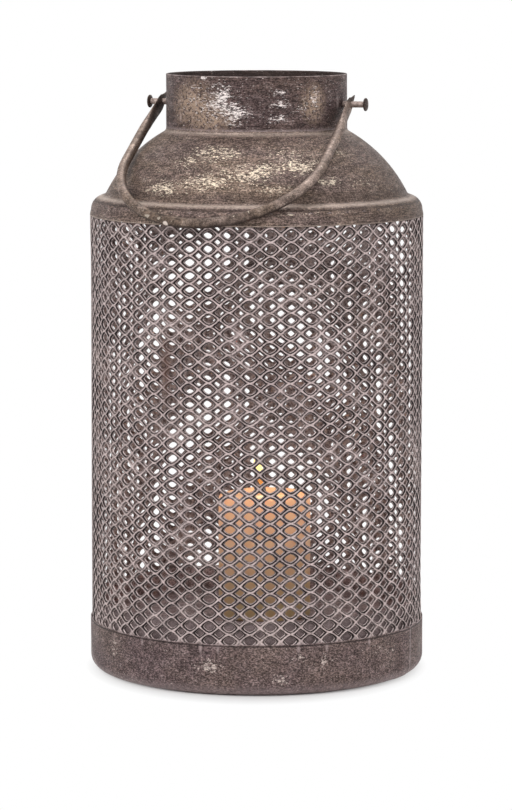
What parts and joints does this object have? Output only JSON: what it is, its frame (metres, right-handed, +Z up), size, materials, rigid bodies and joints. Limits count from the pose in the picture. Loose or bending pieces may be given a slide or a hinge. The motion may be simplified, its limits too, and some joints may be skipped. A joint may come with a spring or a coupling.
{
  "type": "candle lantern",
  "caption": "Tall round lantern with a pierced sheet-metal wall, domed shoulder, open neck, swinging bail handle and a pillar candle inside.",
  "frame": {"origin": "middle of the base band's lower edge, on the surface that the lantern stands on", "axes": "+Z up along the lantern's axis; X along the two pins of the bail; the bail lies forward, towards -Y"},
  "size_m": [0.2763, 0.2864, 0.49],
  "materials": {
    "band_tin": "matt weathered",
    "wall_tin": "matt weathered with worn ridges",
    "shoulder_tin": "matt weathered with pale rubbed patches",
    "iron": "matt weathered",
    "wax": "waxy, slightly translucent",
    "wick_cotton": "burnt cotton"
  },
  "bodies": {
    "lantern": {"base_band": "band_tin", "floor_pan": "band_tin", "mesh_wall": "wall_tin", "shoulder": "shoulder_tin", "neck": "shoulder_tin", "pins": "iron"},
    "bail": {"bail": "iron"},
    "candle": {"candle": "wax", "wick": "wick_cotton"}
  },
  "joints": [
    {"name": "bail_swing", "type": "hinge", "parent": "lantern", "child": "bail", "pos_m": [0, 0, 0.466], "axis": [-1, 0, 0], "range_deg": [0, 242.9]},
    {"name": "candle_lift", "type": "slide", "parent": "lantern", "child": "candle", "axis": [0, 0, 1], "range_m": [0, 0.46]}
  ]
}
